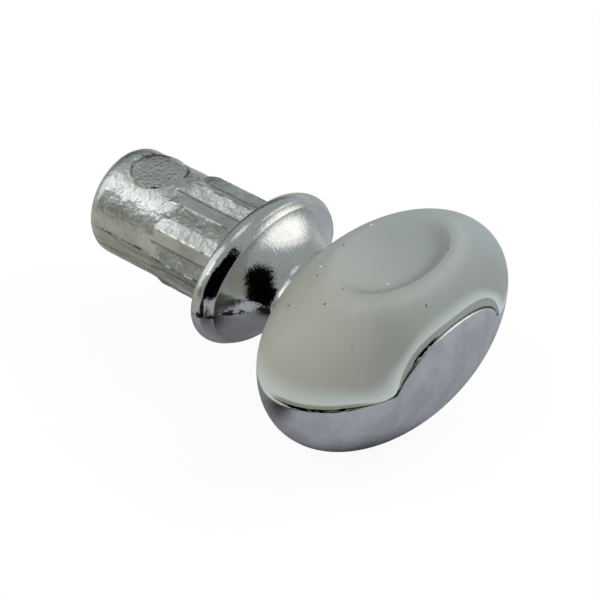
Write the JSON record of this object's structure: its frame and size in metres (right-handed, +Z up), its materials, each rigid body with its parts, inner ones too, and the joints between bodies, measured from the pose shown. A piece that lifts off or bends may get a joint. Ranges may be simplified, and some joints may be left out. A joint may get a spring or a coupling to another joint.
{
  "type": "shelf support pin",
  "caption": "Plated die-cast shelf support pin with a ribbed shank, an oval collar and an oval cup head under a soft translucent pad that carries the shelf.",
  "frame": {"origin": "on the pin's axis, at the collar's seat that touches the cabinet side", "axes": "+X out of the cabinet side along the pin's axis towards the head, so the shank points along -X; +Z up, towards the shelf; +Y across"},
  "size_m": [0.0179, 0.0134, 0.0082],
  "materials": {
    "plated_metal": "bright nickel-like plating over a die-cast surface",
    "soft_plastic": "frosted, translucent grey-green soft plastic"
  },
  "bodies": {
    "root": {"pin_body": "plated_metal", "soft_pad": "soft_plastic"}
  },
  "joints": []
}
